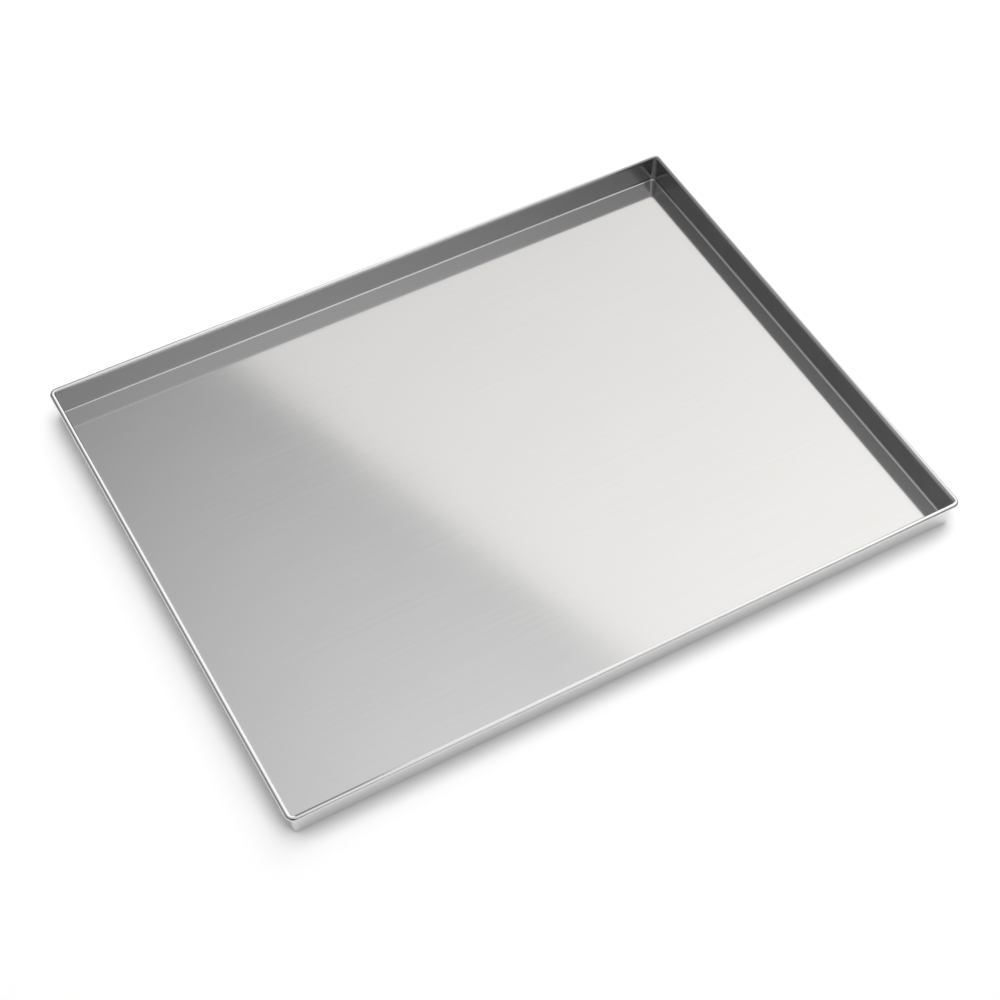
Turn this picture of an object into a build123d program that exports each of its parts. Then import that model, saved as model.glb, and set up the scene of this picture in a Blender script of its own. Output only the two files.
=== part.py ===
from build123d import *
from math import acos, atan2, cos, degrees, sin, tan
import os

os.makedirs("parts", exist_ok=True)

# Baking tray of one stainless sheet: a flat floor, four walls that lean out a little,
# and an edge that is rolled outwards and down around a steel wire.
# Millimetres. The origin is the middle of the underside, +X is the long way, +Z is up.

# The tray's outside, over the rolled edge
tray_length = 450.0
tray_width = 350.0
# From the top of the floor to the top of the rim
tray_depth = 20.0

# The sheet and how it is bent
sheet = 0.6
wall_flare = 0.5
inside_bend = 1.0
mouth_corner = 1.8
foot_corner = 2.8

# The wire in the rim, and the sheet's curl around it
wire_diameter = 1.5
wire_clearance = 0.05
wire_end_gap = 1.0
lead_in_ease = 0.8
seam_gap = 0.25
rim_skirt = 0.8

# The rolled edge: the wall turns out along a wide arc, then goes round the wire along a tighter one
roll_radius = wire_diameter / 2 + wire_clearance + sheet
lead_in_radius = roll_radius + lead_in_ease
rim_top = tray_depth + sheet
half_length = tray_length / 2
half_width = tray_width / 2
roll_height = rim_top - roll_radius
lead_in_height = rim_top - lead_in_radius
join_height = roll_height - roll_radius - rim_skirt

# The wall's lean from upright, and the sheet's thickness along a level cut
lean = atan2(wall_flare, join_height)
level_sheet = sheet / cos(lean)
tangent_height = lead_in_height + lead_in_radius * sin(lean)
tangent_inset = roll_radius + lead_in_radius * cos(lean)


def inner_inset(height):
    """How far the wall's inside face lies in from the rim's outermost line."""
    return tangent_inset + (tangent_height - height) * tan(lean)


def outer_inset(height):
    """The same for the wall's outside face."""
    return inner_inset(height) - level_sheet


def inner_corner(height):
    """Radius of the wall's inside corner, wider at the floor than at the rim."""
    return foot_corner + (mouth_corner - foot_corner) * height / join_height


def tray_block(floor_height, inset, corner_growth, bend):
    """A solid block bounded by one face of the walls, from a floor height up to the rim."""
    with BuildPart() as block:
        for height in (floor_height, join_height):
            with BuildSketch(Plane.XY.offset(height)):
                RectangleRounded(
                    tray_length - 2 * inset(height),
                    tray_width - 2 * inset(height),
                    inner_corner(height) + corner_growth,
                )
        loft(ruled=True)
        fillet(block.faces().sort_by(Axis.Z)[0].edges(), bend)
    return block.part


# The curl stops where its outer skin is one seam gap away from the wall
end_reach = (lead_in_radius * cos(lean) - level_sheet - seam_gap) / roll_radius
curl_turn = 270 - degrees(acos(end_reach))
lead_in_turn = 90 - degrees(lean)

# All the rim's arcs at a corner turn about one upright axis
rim_corner = mouth_corner + inner_inset(join_height)


# A quarter of the rolled edge, from the middle of one short side to the middle of a long side
with BuildPart() as rim_quarter:
    join_inset = inner_inset(join_height)
    with BuildLine() as rim_run:
        FilletPolyline(
            (half_length - join_inset, 0, join_height),
            (half_length - join_inset, half_width - join_inset, join_height),
            (0, half_width - join_inset, join_height),
            radius=mouth_corner,
        )
    with BuildSketch(Plane.XZ) as rim_section:
        with BuildLine() as rim_outline:
            roll_centre = (half_length - roll_radius, roll_height)
            lead_in_centre = (half_length - roll_radius, lead_in_height)
            lead_in = CenterArc(lead_in_centre, lead_in_radius, 90, lead_in_turn)
            roll = CenterArc(roll_centre, roll_radius, 90, -curl_turn)
            roll_inside = CenterArc(roll_centre, roll_radius - sheet, 90, -curl_turn)
            lead_in_inside = CenterArc(lead_in_centre, lead_in_radius - sheet, 90, lead_in_turn)
            Line(roll @ 1, roll_inside @ 1)
            Polyline(
                lead_in @ 1,
                (half_length - join_inset, join_height),
                (half_length - outer_inset(join_height), join_height),
                lead_in_inside @ 1,
            )
        make_face()
    sweep(path=rim_run.line)


outside_block = tray_block(0, outer_inset, level_sheet, inside_bend + sheet)
inside_block = tray_block(sheet, inner_inset, 0, inside_bend)

with BuildPart() as tray_pan:
    # Floor and walls, with the bend between them
    add(outside_block)
    add(inside_block, mode=Mode.SUBTRACT)
    # Rolled edge on top of the walls
    add(rim_quarter.part)
    add(rim_quarter.part.mirror(Plane.YZ))
    add(rim_quarter.part.mirror(Plane.XZ))
    add(rim_quarter.part.mirror(Plane.YZ).mirror(Plane.XZ))

tray_pan.part.label = "tray_pan"
export_step(tray_pan.part, "parts/tray_pan.step")


# The wire runs round inside the roll, and its ends meet at the middle of the back side
with BuildPart() as rim_wire:
    wire_x = half_length - roll_radius
    wire_y = half_width - roll_radius
    with BuildLine() as wire_run:
        FilletPolyline(
            (wire_end_gap / 2, wire_y, roll_height),
            (wire_x, wire_y, roll_height),
            (wire_x, -wire_y, roll_height),
            (-wire_x, -wire_y, roll_height),
            (-wire_x, wire_y, roll_height),
            (-wire_end_gap / 2, wire_y, roll_height),
            radius=rim_corner - roll_radius,
        )
    with BuildSketch(Plane(origin=wire_run.line @ 0, z_dir=wire_run.line % 0)):
        Circle(wire_diameter / 2)
    sweep(path=wire_run.line)

rim_wire.part.label = "rim_wire"
export_step(rim_wire.part, "parts/rim_wire.step")
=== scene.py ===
"""A stainless baking tray on a white studio floor. Metres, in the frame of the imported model."""
from math import acos, atan2, cos, pi, radians, sin, tan

import bpy
import numpy as np
from mathutils import Matrix, Vector


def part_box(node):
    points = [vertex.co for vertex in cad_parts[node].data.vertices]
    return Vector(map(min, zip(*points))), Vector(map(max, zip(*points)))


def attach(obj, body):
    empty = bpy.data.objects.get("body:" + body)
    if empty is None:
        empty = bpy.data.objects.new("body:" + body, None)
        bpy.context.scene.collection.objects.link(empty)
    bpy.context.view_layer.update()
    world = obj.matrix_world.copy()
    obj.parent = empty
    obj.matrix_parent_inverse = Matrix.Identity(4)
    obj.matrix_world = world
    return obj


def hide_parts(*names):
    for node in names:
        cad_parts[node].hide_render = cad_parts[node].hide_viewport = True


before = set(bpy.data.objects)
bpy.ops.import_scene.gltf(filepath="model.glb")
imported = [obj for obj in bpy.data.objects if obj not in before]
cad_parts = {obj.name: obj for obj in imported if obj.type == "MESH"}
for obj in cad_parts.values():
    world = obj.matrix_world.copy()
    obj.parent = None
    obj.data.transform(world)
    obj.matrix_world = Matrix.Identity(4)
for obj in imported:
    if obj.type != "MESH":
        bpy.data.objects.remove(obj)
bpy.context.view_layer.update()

MM = 0.001

# The tray's outside comes from the frame
pan_low, pan_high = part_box("tray_pan")
half_length = (pan_high.x - pan_low.x) / 2
half_width = (pan_high.y - pan_low.y) / 2
rim_top = pan_high.z

# The sheet and how it is bent
sheet = 0.6 * MM
wall_flare = 0.5 * MM
inside_bend = 1.0 * MM
mouth_corner = 1.8 * MM
foot_corner = 2.8 * MM
roll_radius = 1.4 * MM
lead_in_radius = 2.2 * MM
seam_gap = 0.25 * MM
rim_skirt = 0.8 * MM

roll_height = rim_top - roll_radius
lead_in_height = rim_top - lead_in_radius
join_height = roll_height - roll_radius - rim_skirt
lean = atan2(wall_flare, join_height)
level_sheet = sheet / cos(lean)
tangent_height = lead_in_height + lead_in_radius * sin(lean)
tangent_inset = roll_radius + lead_in_radius * cos(lean)

# How finely the surfaces are divided
CORNER_STEPS = 16
LONG_STEPS = 40
SHORT_STEPS = 32
BEND_STEPS = 10
WALL_STEPS = 10
LEAD_IN_STEPS = 14
LEAD_IN_INSIDE_STEPS = 8
ROLL_STEPS = 40
ROLL_INSIDE_STEPS = 24
# Where the rings over the floor lie, as shares of the way from its edge to its middle
FLOOR_RING_SHARES = (0.004, 0.02, 0.06, 0.14, 0.28, 0.46, 0.66, 0.84, 0.96)
# No ring's corner is sharper than these, on the bend and on the floor
LEAST_BEND_CORNER = 0.2 * MM
LEAST_FLOOR_CORNER = 0.05 * MM

# Zones of the sheet: how much painted sheen each has, which makes the rim and outside walls a lighter grey,
# and how much of the wall's duller finish
FLOOR = (0.0, 0.0)
INSIDE_WALL = (0.0, 1.0)
OUTSIDE_WALL = (1.6, 1.0)
RIM = (1.0, 0.0)


def wall_inset(height):
    """How far the wall's inside face lies in from the rim's outermost line."""
    return tangent_inset + (tangent_height - height) * tan(lean)


def wall_corner(height):
    """Plan radius of the wall's inside face at the tray's corners."""
    return foot_corner + (mouth_corner - foot_corner) * height / join_height


rim_corner = mouth_corner + wall_inset(join_height)


def rim_arc(centre_height, radius, start, end, steps):
    """Points of one arc of the rolled edge. Angles are of the normal, from straight up, outwards positive."""
    points = []
    for k in range(steps + 1):
        a = start + (end - start) * k / steps
        inset = roll_radius - radius * sin(a)
        points.append((inset, centre_height + radius * cos(a), rim_corner - inset, (sin(a), cos(a))))
    return points


def bend_arc(top_inset, centre_height, radius, corner, facing, steps):
    """The bend from wall to floor: facing 1 is the inside skin, -1 the outside skin."""
    points = []
    for k in range(steps + 1):
        a = (pi / 2 - lean) * k / steps + lean
        step_in = radius * (cos(lean) - cos(a))
        normal = (-facing * cos(a), facing * sin(a))
        height = centre_height - radius * sin(a)
        points.append((top_inset + step_in, height, max(corner - step_in, LEAST_BEND_CORNER), normal))
    return points


def wall_face(low, high, extra, facing, steps):
    """A wall skin from one height to another."""
    points = []
    for k in range(steps + 1):
        z = low + (high - low) * k / steps
        inset = wall_inset(z) - extra
        points.append((inset, z, wall_corner(z) + extra, (-facing * cos(lean), facing * sin(lean))))
    return points


def floor_rings(edge, height, facing):
    """Rings over the floor from its edge to its middle."""
    inset, _, corner, _ = edge
    span = half_width - inset
    rings = [(inset, height, corner, (0.0, facing))]
    for s in FLOOR_RING_SHARES:
        rings.append((inset + span * s, height, max(corner * (1 - s), LEAST_FLOOR_CORNER), (0.0, facing)))
    return rings


def pan_section():
    """The runs of the sheet's section with their zones, from the floor's middle and back under it."""
    outside_bend = inside_bend + sheet
    inner_foot = sheet + inside_bend * (1 - sin(lean))
    outer_foot = outside_bend * (1 - sin(lean))
    inner_start = (wall_inset(inner_foot), sheet + inside_bend, inside_bend, wall_corner(inner_foot))
    inner_bend = bend_arc(*inner_start, 1, BEND_STEPS)
    outer_inset, outer_corner = wall_inset(outer_foot) - level_sheet, wall_corner(outer_foot) + level_sheet
    outer_bend = bend_arc(outer_inset, outside_bend, outside_bend, outer_corner, -1, BEND_STEPS)
    top_floor = floor_rings(inner_bend[-1], sheet, 1)[::-1]
    low_floor = floor_rings(outer_bend[-1], 0.0, -1)
    top_wall = wall_face(inner_foot, tangent_height, 0.0, 1, WALL_STEPS)
    low_wall = wall_face(outer_foot, tangent_height, level_sheet, -1, WALL_STEPS)
    wall_end = -pi / 2 + lean
    lead_in = rim_arc(lead_in_height, lead_in_radius, wall_end, 0.0, LEAD_IN_STEPS)
    roll = rim_arc(roll_height, roll_radius, 0.0, curl_turn(), ROLL_STEPS)
    roll_inside = rim_arc(roll_height, roll_radius - sheet, curl_turn(), 0.0, ROLL_INSIDE_STEPS)
    lead_in_inside = rim_arc(lead_in_height, lead_in_radius - sheet, 0.0, wall_end, LEAD_IN_INSIDE_STEPS)
    cut = (cos(curl_turn()), -sin(curl_turn()))
    edge = [(*roll[-1][:3], cut), (*roll_inside[0][:3], cut)]
    inward = [[(i, z, c, (-n[0], -n[1])) for i, z, c, n in run] for run in (roll_inside, lead_in_inside)]
    return [
        (top_floor, FLOOR),
        (inner_bend[::-1], FLOOR),
        (top_wall, INSIDE_WALL),
        (lead_in, RIM),
        (roll, RIM),
        (edge, RIM),
        (inward[0], RIM),
        (inward[1], RIM),
        (low_wall[::-1], OUTSIDE_WALL),
        (outer_bend, OUTSIDE_WALL),
        (low_floor, FLOOR),
    ]


def curl_turn():
    """How far the curl goes round, stopping one seam gap from the wall."""
    reach = (lead_in_radius * cos(lean) - level_sheet - seam_gap) / roll_radius
    return 3 * pi / 2 - acos(reach)


def ring_plan(inset, corner):
    """Points of a rounded rectangle and their outward directions, anticlockwise from the +X side."""
    x, y = half_length - inset - corner, half_width - inset - corner
    plan = []
    spots = ((x, y, 0.0), (-x, y, pi / 2), (-x, -y, pi), (x, -y, 3 * pi / 2))
    for n, (cx, cy, start) in enumerate(spots):
        arc = []
        for k in range(CORNER_STEPS + 1):
            a = start + pi / 2 * k / CORNER_STEPS
            arc.append((cx + corner * cos(a), cy + corner * sin(a), cos(a), sin(a)))
        plan += arc
        next_x, next_y, a = spots[(n + 1) % 4]
        to_x, to_y = next_x + corner * cos(a), next_y + corner * sin(a)
        from_x, from_y = arc[-1][:2]
        steps = LONG_STEPS if n % 2 == 0 else SHORT_STEPS
        for k in range(1, steps):
            s = k / steps
            plan.append((from_x + (to_x - from_x) * s, from_y + (to_y - from_y) * s, cos(a), sin(a)))
    return np.array(plan)


def build_pan():
    """The pan as one closed mesh with its exact normals and a map of the flat sheet."""
    verts, faces, loop_normals = [], [], []
    flat, zones = [], []
    rows = []
    for run, zone in pan_section():
        for k, (inset, height, corner, normal) in enumerate(run):
            rows.append((ring_plan(inset, corner), inset, height, normal, zone, k == 0))
    count = len(rows[0][0])
    ring_start = None
    reach, last_spot = 0.0, None
    for plan, inset, height, normal, zone, starts in rows:
        if starts and ring_start is not None:
            base = ring_start
        else:
            base = len(verts)
            verts += [(p[0], p[1], height) for p in plan]
            zones += [zone] * count
            # How far this ring lies up the sheet from the floor's edge, and so where it is on the flat sheet
            if last_spot and zone is not FLOOR:
                reach += ((inset - last_spot[0]) ** 2 + (height - last_spot[1]) ** 2) ** 0.5
            last_spot = (inset, height)
            shift = reach - (wall_inset(0.0) - inset) if zone is not FLOOR else 0.0
            flat += [(p[0] + p[2] * shift, p[1] + p[3] * shift) for p in plan]
        normals = np.column_stack([plan[:, 2] * normal[0], plan[:, 3] * normal[0], np.full(count, normal[1])])
        if not starts:
            for k in range(count):
                j = (k + 1) % count
                faces.append((ring_start + k, base + k, base + j, ring_start + j))
                loop_normals += [last_normals[k], normals[k], normals[j], last_normals[j]]
        ring_start, last_normals = base, normals
    caps = [list(range(count)), list(range(ring_start, ring_start + count))]
    cap_faces, cap_normals = cap_rings(caps, count)
    mesh = bpy.data.meshes.new("tray_pan_skin")
    mesh.from_pydata(verts, [], faces + cap_faces)
    mesh.polygons.foreach_set("use_smooth", [True] * len(mesh.polygons))
    sheet_map = mesh.uv_layers.new(name="sheet_map")
    for corner in mesh.loops:
        sheet_map.data[corner.index].uv = flat[corner.vertex_index]
    # The rim attribute holds each zone's share of the painted sheen that lightens the grey; the wall
    # attribute holds its share of the duller finish
    for k, name in enumerate(("rim", "wall")):
        layer = mesh.attributes.new(name, "FLOAT", "POINT")
        layer.data.foreach_set("value", [z[k] for z in zones])
    mesh.normals_split_custom_set([tuple(n) for n in loop_normals] + cap_normals)
    mesh.update()
    return mesh


def cap_rings(caps, count):
    """Closes the innermost ring of the floor's top and underside with strips across the tray."""
    arc = CORNER_STEPS
    faces, normals = [], []
    back = list(range(arc, arc + LONG_STEPS + 1))
    front_start = 2 * (arc + 1) + (LONG_STEPS - 1) + (SHORT_STEPS - 1) + arc
    front = list(range(front_start, front_start + LONG_STEPS + 1))[::-1]
    for n, ring in enumerate(caps):
        up = 1.0 if n == 0 else -1.0
        for k in range(LONG_STEPS):
            quad = [ring[back[k]], ring[back[k + 1]], ring[front[k + 1]], ring[front[k]]]
            faces.append(quad if up > 0 else quad[::-1])
            normals += [(0, 0, up)] * 4
        left = [ring[i] for i in range(back[-1], front[-1] + 1)]
        right = [ring[i % count] for i in range(front[0], count + back[0] + 1)]
        for end in (left, right):
            faces.append(end if up > 0 else end[::-1])
            normals += [(0, 0, up)] * len(end)
    return faces, normals


# Streaks in the steel: features per metre along and across the sheet, and how detailed they are
FINE_GRAIN = (14.0, 2200.0, 2.0)
BROAD_GRAIN = (5.0, 420.0, 3.0)
CLOUD = (16.0, 22.0, 4.0)
SHEET_WAVE = (7.0, 7.0, 0.0)
DIE_MARKS = (900.0, 900.0, 3.0)
DULL_PATCHES = (60.0, 60.0, 2.0)
# Noise stays mostly between these
NOISE_LOW, NOISE_HIGH = 0.3, 0.7

# Greys of the sheet: the floor's own grey, and the lighter grey of the outside walls, which is painted sheen.
# The rim's painted sheen lies between the floor and the outside walls.
FLOOR_GREY = 0.62
OUTSIDE_SHEEN_GREY = 0.828
FLOOR_ROUGHNESS = 0.10
WALL_ROUGHNESS = 0.20
GRAIN_DEPTH = 1.5e-6
WAVE_DEPTH = 4.0e-5

# The wire: its grey and what the patches add to it, its roughness and the depth of its marks
WIRE_GREY = (0.50, 0.56)
PATCH_GREY = (-0.04, 0.03)
WIRE_ROUGHNESS = (0.28, 0.42)
MARK_DEPTH = 4.0e-6


def node(tree, kind, **values):
    """Adds a shader node and sets its properties and inputs."""
    made = tree.nodes.new(kind)
    for key, value in values.items():
        if key in made.inputs:
            made.inputs[key].default_value = value
        else:
            setattr(made, key, value)
    return made


def new_material(name):
    """A new material, its node tree and the Principled shader on its output."""
    material = bpy.data.materials.new(name)
    material.use_nodes = True
    tree = material.node_tree
    shader = tree.nodes["Principled BSDF"]
    return material, tree, shader


def link(tree, source, target):
    """Joins two sockets."""
    tree.links.new(source, target)


def maths(tree, operation, first, second):
    """A Math node: each input is a number or a socket."""
    made = tree.nodes.new("ShaderNodeMath")
    made.operation = operation
    for slot, value in zip(made.inputs, (first, second)):
        if isinstance(value, (int, float)):
            slot.default_value = value
        else:
            link(tree, value, slot)
    return made.outputs[0]


def spread(tree, value, low, high, out_low, out_high):
    """A Map Range node from one span to another."""
    made = tree.nodes.new("ShaderNodeMapRange")
    link(tree, value, made.inputs["Value"])
    made.inputs["From Min"].default_value = low
    made.inputs["From Max"].default_value = high
    made.inputs["To Min"].default_value = out_low
    made.inputs["To Max"].default_value = out_high
    return made.outputs["Result"]


def sway(tree, noise, low, high):
    """Noise brought to a span of values."""
    return spread(tree, noise, NOISE_LOW, NOISE_HIGH, low, high)


def grey(tree, tone, target):
    """Joins one tone to a colour socket as a grey."""
    colour = tree.nodes.new("ShaderNodeCombineColor")
    for channel in ("Red", "Green", "Blue"):
        link(tree, tone, colour.inputs[channel])
    link(tree, colour.outputs[0], target)


def bump(tree, height, distance, below=None):
    """A Bump node, on top of another one's normal if there is one."""
    made = node(tree, "ShaderNodeBump", Strength=1.0, Distance=distance)
    link(tree, height, made.inputs["Height"])
    if below is not None:
        link(tree, below, made.inputs["Normal"])
    return made.outputs[0]


def streaks(tree, spot, features):
    """Grey noise of one scale, drawn out where its features differ along and across."""
    along, across, detail = features
    scale = node(tree, "ShaderNodeVectorMath", operation="MULTIPLY")
    link(tree, spot, scale.inputs[0])
    scale.inputs[1].default_value = (along, across, 1)
    noise = node(tree, "ShaderNodeTexNoise", Scale=1.0, Detail=detail, Roughness=0.6)
    link(tree, scale.outputs[0], noise.inputs["Vector"])
    return noise.outputs["Fac"]


def pan_steel():
    """Satin stainless sheet: a fine rolled grain, cloudy traces of handling, and a painted sheen that makes
    the rim and outside walls a lighter grey.
    """
    material, tree, shader = new_material("pan_steel")
    spot = node(tree, "ShaderNodeUVMap", uv_map="sheet_map").outputs[0]
    rim = node(tree, "ShaderNodeAttribute", attribute_name="rim").outputs["Fac"]
    wall = node(tree, "ShaderNodeAttribute", attribute_name="wall").outputs["Fac"]
    fine = streaks(tree, spot, FINE_GRAIN)
    broad = streaks(tree, spot, BROAD_GRAIN)
    cloud = streaks(tree, spot, CLOUD)
    # Colour: dull grey steel, made a lighter grey on the rolled edge and on the outside by a painted sheen
    tone = spread(tree, rim, 0.0, OUTSIDE_WALL[0], FLOOR_GREY, OUTSIDE_SHEEN_GREY)
    for noise, most in ((fine, 0.006), (broad, 0.006), (cloud, 0.004)):
        tone = maths(tree, "ADD", tone, sway(tree, noise, -most, most))
    grey(tree, tone, shader.inputs["Base Color"])
    # Finish: the walls are a little duller than the floor, and the cloud shows in the gloss too
    gloss = spread(tree, wall, 0.0, 1.0, FLOOR_ROUGHNESS, WALL_ROUGHNESS)
    for noise, most in ((cloud, 0.012), (fine, 0.010)):
        gloss = maths(tree, "ADD", gloss, sway(tree, noise, -most, most))
    link(tree, gloss, shader.inputs["Roughness"])
    shader.inputs["Metallic"].default_value = 1.0
    # Relief: the grain, and a slight wave of the flat sheet
    grain = bump(tree, fine, GRAIN_DEPTH)
    wave = bump(tree, streaks(tree, spot, SHEET_WAVE), WAVE_DEPTH, grain)
    link(tree, wave, shader.inputs["Normal"])
    return material


def wire_steel():
    """Plain drawn wire: fine die marks and dull patches, by place in the frame."""
    material, tree, shader = new_material("wire_steel")
    spot = node(tree, "ShaderNodeTexCoord").outputs["Object"]
    marks = streaks(tree, spot, DIE_MARKS)
    patches = streaks(tree, spot, DULL_PATCHES)
    tone = maths(tree, "ADD", sway(tree, marks, *WIRE_GREY), sway(tree, patches, *PATCH_GREY))
    grey(tree, tone, shader.inputs["Base Color"])
    link(tree, sway(tree, patches, *WIRE_ROUGHNESS), shader.inputs["Roughness"])
    shader.inputs["Metallic"].default_value = 1.0
    link(tree, bump(tree, marks, MARK_DEPTH), shader.inputs["Normal"])
    return material


# Lamp panels, in metres about the middle of the tray. One of strength 1 is seen as white.
CEILING_SPOT = (0.35, 0.0, 1.52)
CEILING_SIZE = (2.7, 4.8)
# The ceiling's light falls evenly, to its least near this many times its reach each way
CEILING_REACH = (0.9, 1.6)
CEILING_END = 1.5
CEILING_PEAK, CEILING_LEAST = 1.36, 0.1
KEY_SPOT = (1.208, 1.286, 1.5)
KEY_TURN = radians(-72.1) + pi / 2
KEY_SIZE = (1.6, 2.6)
# Strength at the key panel's near end and at its far end
KEY_NEAR, KEY_FAR = 1.68, 0.74
KEY_TINT = (1.0, 0.985, 0.965, 1)
FLOOR_LAMP_SPOT = (-0.05, 0.0, 1.4)
FLOOR_LAMP_SIZE = (1.0, 1.0)
FLOOR_LAMP_STRENGTH = 2.0
LOW_PANEL_SPOT = (0.0, 0.0, -0.7)
LOW_PANEL_SIZE = (2.4, 2.4)
LOW_PANEL_STRENGTH = 0.9
ROOM_GREY = 0.24

# Cards that the rolled edge shows: azimuth in degrees, distance, width, lower and upper edge, strength
CARDS = {
    "back_card": (53, 2.5, 2.6, 0.05, 1.45, 1.45),
    "left_card": (145, 2.3, 0.8, 0.4, 1.9, 0.40),
    "front_card": (289, 2.3, 1.2, 0.9, 2.2, 1.4),
}
# Black flag on the near side, which draws a dark line round the nearest corner
NEAR_FLAG = (236, 2.4, 1.7, 0.1, 2.3, 0.0)

# The studio floor, which is open below the tray
FLOOR_REACH = 30.0
FLOOR_DROP = 0.05 * MM
OPENING_INSET = 8 * MM
FLOOR_PAINT = 0.9
FLOOR_GLOW = 0.43
# The steel mirrors this share of the glow, down to none between two distances from the middle
MIRRORED_GLOW = 0.85
POOL_START, POOL_END = 0.6, 1.4
# Contact shadow: how open the floor is where the shadow is deepest and where it ends
SHADOW_REACH = 0.02
SHADOW_SAMPLES = 8
SHADOW_DEEP, SHADOW_CLEAR = 0.45, 0.79
GLOW_LEFT_IN_SHADOW = 0.22


def studio_floor():
    """The white floor. What is seen of it is brought up to white, less its contact shadow."""
    mesh = bpy.data.meshes.new("studio_floor")
    # Under the tray the floor is open, and from below it is clear, so that the underside can be looked at
    far = (FLOOR_REACH, FLOOR_REACH)
    hole = (half_length - OPENING_INSET, half_width - OPENING_INSET)
    signs = ((-1, -1), (1, -1), (1, 1), (-1, 1))
    verts = [(sx * x, sy * y, -FLOOR_DROP) for x, y in (far, hole) for sx, sy in signs]
    mesh.from_pydata(verts, [], [(k, (k + 1) % 4, 4 + (k + 1) % 4, 4 + k) for k in range(4)])
    ground = bpy.data.objects.new("studio_floor", mesh)
    bpy.context.scene.collection.objects.link(ground)
    material, tree, shader = new_material("studio_floor")
    tree.nodes.remove(shader)
    diffuse = node(tree, "ShaderNodeBsdfDiffuse", Color=(FLOOR_PAINT, FLOOR_PAINT, FLOOR_PAINT, 1))
    path = tree.nodes.new("ShaderNodeLightPath")
    spot = node(tree, "ShaderNodeTexCoord").outputs["Object"]
    away = node(tree, "ShaderNodeVectorMath", operation="LENGTH")
    link(tree, spot, away.inputs[0])
    # In the steel the floor is white round the tray and falls off beyond it
    pool = spread(tree, away.outputs["Value"], POOL_START, POOL_END, MIRRORED_GLOW, 0.0)
    mirrored = maths(tree, "MAXIMUM", path.outputs["Is Glossy Ray"], path.outputs["Is Transmission Ray"])
    seen = maths(tree, "MAXIMUM", path.outputs["Is Camera Ray"], maths(tree, "MULTIPLY", mirrored, pool))
    near = node(tree, "ShaderNodeAmbientOcclusion", samples=SHADOW_SAMPLES, Distance=SHADOW_REACH)
    open_share = spread(tree, near.outputs["AO"], SHADOW_DEEP, SHADOW_CLEAR, GLOW_LEFT_IN_SHADOW, 1.0)
    glow = tree.nodes.new("ShaderNodeEmission")
    shared = maths(tree, "MULTIPLY", seen, open_share)
    link(tree, maths(tree, "MULTIPLY", shared, FLOOR_GLOW), glow.inputs["Strength"])
    both = tree.nodes.new("ShaderNodeAddShader")
    link(tree, diffuse.outputs[0], both.inputs[0])
    link(tree, glow.outputs[0], both.inputs[1])
    link(tree, clear_from_behind(tree, both.outputs[0]), tree.nodes["Material Output"].inputs["Surface"])
    mesh.materials.append(material)


def clear_from_behind(tree, shader):
    """A shader that is seen from the front of its faces only."""
    mix = tree.nodes.new("ShaderNodeMixShader")
    link(tree, node(tree, "ShaderNodeNewGeometry").outputs["Backfacing"], mix.inputs[0])
    link(tree, shader, mix.inputs[1])
    link(tree, node(tree, "ShaderNodeBsdfTransparent").outputs[0], mix.inputs[2])
    return mix.outputs[0]


def panel(name, centre, turns, width, depth, strength=1.0):
    """A lamp panel that faces down before it is turned, with its shader tree, emission and coordinates."""
    mesh = bpy.data.meshes.new(name)
    w, d = width / 2, depth / 2
    mesh.from_pydata([(-w, -d, 0), (-w, d, 0), (w, d, 0), (w, -d, 0)], [], [(0, 1, 2, 3)])
    lamp = bpy.data.objects.new(name, mesh)
    lamp.location = centre
    lamp.rotation_euler = turns
    bpy.context.scene.collection.objects.link(lamp)
    material, tree, shader = new_material(name)
    tree.nodes.remove(shader)
    glow = node(tree, "ShaderNodeEmission", Strength=strength)
    link(tree, glow.outputs[0], tree.nodes["Material Output"].inputs["Surface"])
    mesh.materials.append(material)
    where = tree.nodes.new("ShaderNodeTexCoord")
    return lamp, tree, glow, where.outputs["Object"]


def card(name, azimuth, distance, width, low, high, strength):
    """An upright panel that faces the tray, at an azimuth counted from +X towards +Y."""
    a = radians(azimuth)
    centre = (distance * cos(a), distance * sin(a), (low + high) / 2)
    return panel(name, centre, (pi / 2, 0, a - pi / 2), width, high - low, strength)


def ceiling():
    """A wide soft ceiling, brightest above the tray and dark towards its ends."""
    _, tree, glow, spot = panel("ceiling_panel", CEILING_SPOT, (0, 0, 0), *CEILING_SIZE)
    squeeze = node(tree, "ShaderNodeVectorMath", operation="MULTIPLY")
    link(tree, spot, squeeze.inputs[0])
    squeeze.inputs[1].default_value = (1 / CEILING_REACH[0], 1 / CEILING_REACH[1], 0)
    away = node(tree, "ShaderNodeVectorMath", operation="LENGTH")
    link(tree, squeeze.outputs[0], away.inputs[0])
    fall = spread(tree, away.outputs["Value"], 0.0, CEILING_END, CEILING_PEAK, 0.0)
    link(tree, maths(tree, "MAXIMUM", fall, CEILING_LEAST), glow.inputs["Strength"])


def key_panel():
    """The panel whose edge shows in the tray's floor, brighter at its near end."""
    _, tree, glow, spot = panel("key_panel", KEY_SPOT, (0, 0, KEY_TURN), *KEY_SIZE)
    parts = tree.nodes.new("ShaderNodeSeparateXYZ")
    link(tree, spot, parts.inputs[0])
    half = KEY_SIZE[1] / 2
    link(tree, spread(tree, parts.outputs["Y"], -half, half, KEY_NEAR, KEY_FAR), glow.inputs["Strength"])
    glow.inputs["Color"].default_value = KEY_TINT


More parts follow.
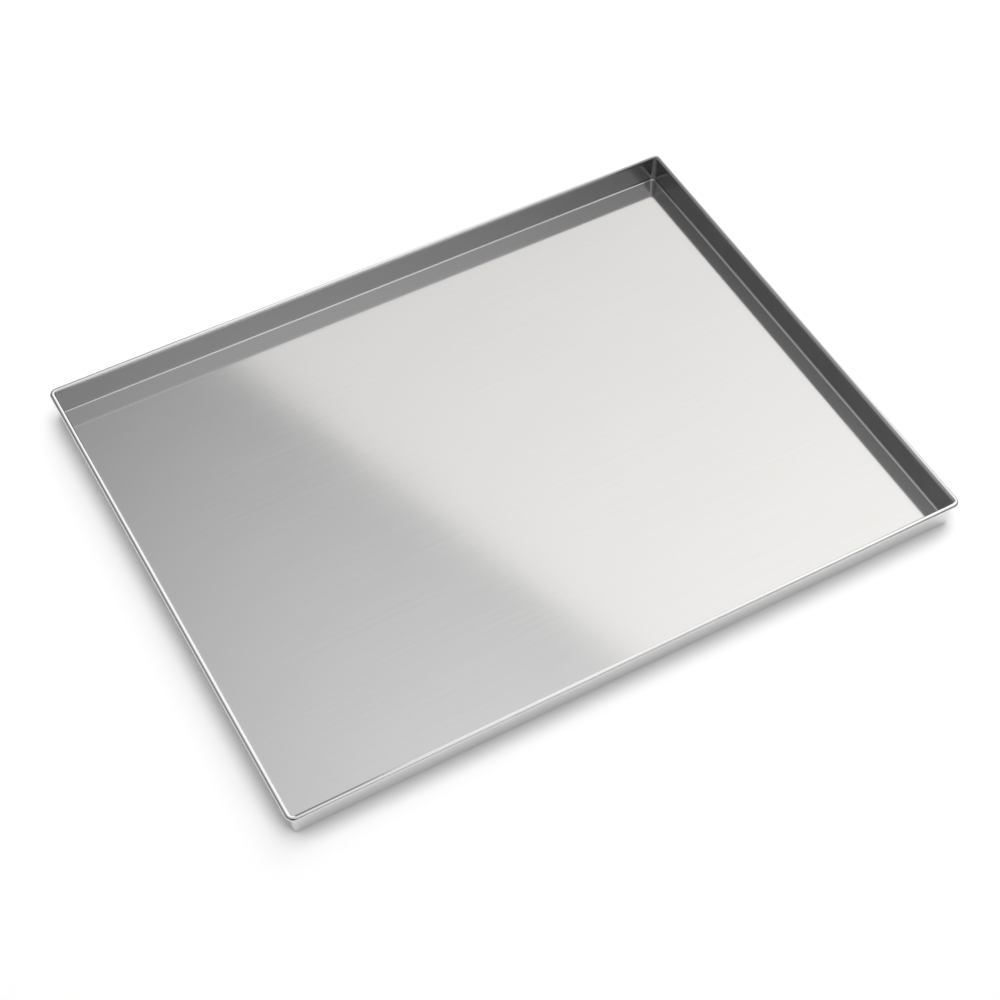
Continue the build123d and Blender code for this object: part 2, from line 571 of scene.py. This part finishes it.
def studio_lights():
    """The ceiling, the key panel, the cards, and lamps for the floor and the underside."""
    ceiling()
    key_panel()
    for name, place in CARDS.items():
        card(name, *place)
    card("near_flag", *NEAR_FLAG)[0].visible_camera = False
    # Overhead lamp for the floor round the tray
    lamp = panel("floor_lamp", FLOOR_LAMP_SPOT, (0, 0, 0), *FLOOR_LAMP_SIZE, FLOOR_LAMP_STRENGTH)[0]
    lamp.visible_glossy = False
    lamp.visible_camera = False
    # Panel below the opening in the floor, for the tray's underside
    _, tree, glow, _ = panel("low_panel", LOW_PANEL_SPOT, (pi, 0, 0), *LOW_PANEL_SIZE, LOW_PANEL_STRENGTH)
    link(tree, clear_from_behind(tree, glow.outputs[0]), tree.nodes["Material Output"].inputs["Surface"])
    world = bpy.data.worlds.new("studio_room")
    world.use_nodes = True
    world.node_tree.nodes["Background"].inputs["Color"].default_value = (ROOM_GREY, ROOM_GREY, ROOM_GREY, 1)
    bpy.context.scene.world = world


def photo_camera():
    """The camera at the photo's viewing angle."""
    focal_px, frame_px = 2096.485, 1000.0
    pitch, yaw, roll = radians(52.458), radians(29.489), 0.008
    spot = Vector((-397.556, -708.845, 1023.337)) * MM
    forward = Vector((sin(yaw) * cos(pitch), cos(yaw) * cos(pitch), -sin(pitch)))
    right = Vector((cos(yaw), -sin(yaw), 0.0))
    up = right.cross(forward)
    side = right * cos(roll) + up * sin(roll)
    top = -right * sin(roll) + up * cos(roll)
    data = bpy.data.cameras.new("photo_camera")
    data.sensor_width = 36.0
    data.lens = focal_px / frame_px * data.sensor_width
    data.clip_start, data.clip_end = 0.05, 50.0
    camera = bpy.data.objects.new("photo_camera", data)
    camera.matrix_world = Matrix((
        (side.x, top.x, -forward.x, spot.x),
        (side.y, top.y, -forward.y, spot.y),
        (side.z, top.z, -forward.z, spot.z),
        (0, 0, 0, 1),
    ))
    bpy.context.scene.collection.objects.link(camera)
    bpy.context.scene.camera = camera


pan = bpy.data.objects.new("tray_pan_skin", build_pan())
bpy.context.scene.collection.objects.link(pan)
pan.data.materials.append(pan_steel())
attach(pan, "root")
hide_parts("tray_pan")

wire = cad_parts["rim_wire"]
wire.data.materials.clear()
wire.data.materials.append(wire_steel())

studio_floor()
studio_lights()
photo_camera()
bpy.context.scene.view_settings.view_transform = "Standard"
